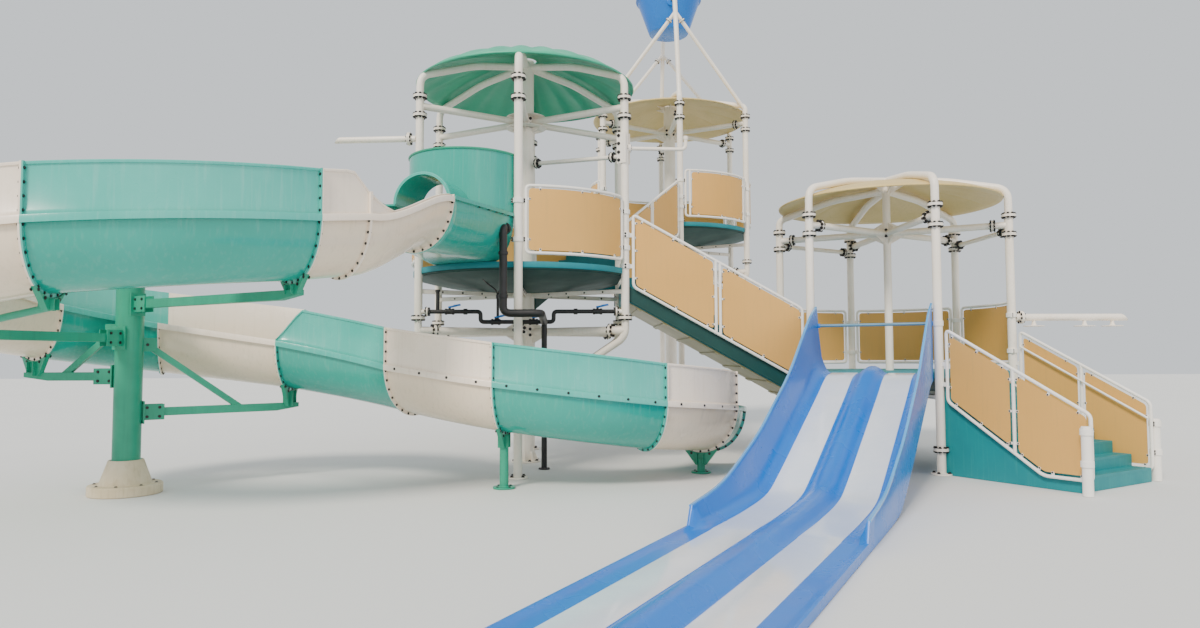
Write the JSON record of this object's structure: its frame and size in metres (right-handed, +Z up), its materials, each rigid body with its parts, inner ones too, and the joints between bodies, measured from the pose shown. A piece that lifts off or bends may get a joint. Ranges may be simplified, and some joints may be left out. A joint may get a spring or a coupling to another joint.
{
  "type": "water slide tower",
  "caption": "Water play structure: linked hexagonal towers with an open curved flume, a lane slide, stairs, canopies and a tipping bucket.",
  "frame": {"origin": "centre of the base plate of the central column of the tower that carries the flume, on the pool floor", "axes": "+Z up, the front post of each tower towards -Y, +X towards the low tower with the lane slide"},
  "size_m": [16.9717, 17.2294, 10.45],
  "materials": {
    "cream_steel": "satin powder coat",
    "teal_deck": "moulded fibreglass with a grip texture",
    "tan_panel": "satin sheet",
    "teal_roof": "gelcoat",
    "cream_roof": "gelcoat",
    "teal_shell": "gelcoat",
    "cream_shell": "gelcoat",
    "black_pipe": "pipe grade",
    "blue_shell": "gelcoat",
    "teal_steel": "satin powder coat",
    "footing": "cast and painted"
  },
  "bodies": {
    "structure": {"tower_a_column": "cream_steel", "tower_a_post_frame": "cream_steel", "tower_a_roof_arms": "cream_steel", "tower_a_deck_frame": "cream_steel", "tower_a_left_spray": "cream_steel", "tower_a_right_spray": "cream_steel", "tower_b_column": "cream_steel", "tower_b_post_frame": "cream_steel", "tower_b_deck_frame": "cream_steel", "tower_c_column": "cream_steel", "tower_c_post_frame": "cream_steel", "tower_c_spray": "cream_steel", "tower_a_deck": "teal_deck", "tower_b_deck": "teal_deck", "tower_c_deck": "teal_deck", "stair_ac_flight": "teal_deck", "stair_ab_flight": "teal_deck", "down_stair_flight": "teal_deck", "tower_a_front_guard": "tan_panel", "tower_a_rear_guards": "tan_panel", "tower_b_guards": "tan_panel", "tower_c_guards": "tan_panel", "stair_ac_left_side": "tan_panel", "stair_ac_right_side": "tan_panel", "stair_ab_left_side": "tan_panel", "stair_ab_right_side": "tan_panel", "down_stair_front_side": "tan_panel", "down_stair_rear_side": "tan_panel", "tower_a_roof": "teal_roof", "tower_b_roof": "cream_roof", "tower_c_roof": "cream_roof", "tower_a_tub": "teal_shell", "tower_a_manifold": "black_pipe", "racer_slide": "blue_shell", "flume_piece_01": "cream_shell", "flume_piece_02": "cream_shell", "flume_piece_03": "teal_shell", "flume_piece_04": "cream_shell", "flume_piece_05": "teal_shell", "flume_piece_06": "cream_shell", "flume_piece_07": "teal_shell", "flume_piece_08": "cream_shell", "flume_piece_09": "teal_shell", "flume_piece_10": "cream_shell", "flume_piece_11": "teal_shell", "flume_piece_12": "cream_shell", "flume_piece_13": "teal_shell", "flume_mast": "teal_steel", "flume_low_support_1": "teal_steel", "flume_low_support_2": "teal_steel", "flume_mast_footing": "footing"},
    "bucket": {"tipping_bucket": "blue_shell"}
  },
  "joints": [
    {"name": "bucket_tip", "type": "hinge", "parent": "structure", "child": "bucket", "pos_m": [3.14, 5.4386, 10.15], "axis": [0, 1, 0], "range_deg": [0, 110]}
  ]
}
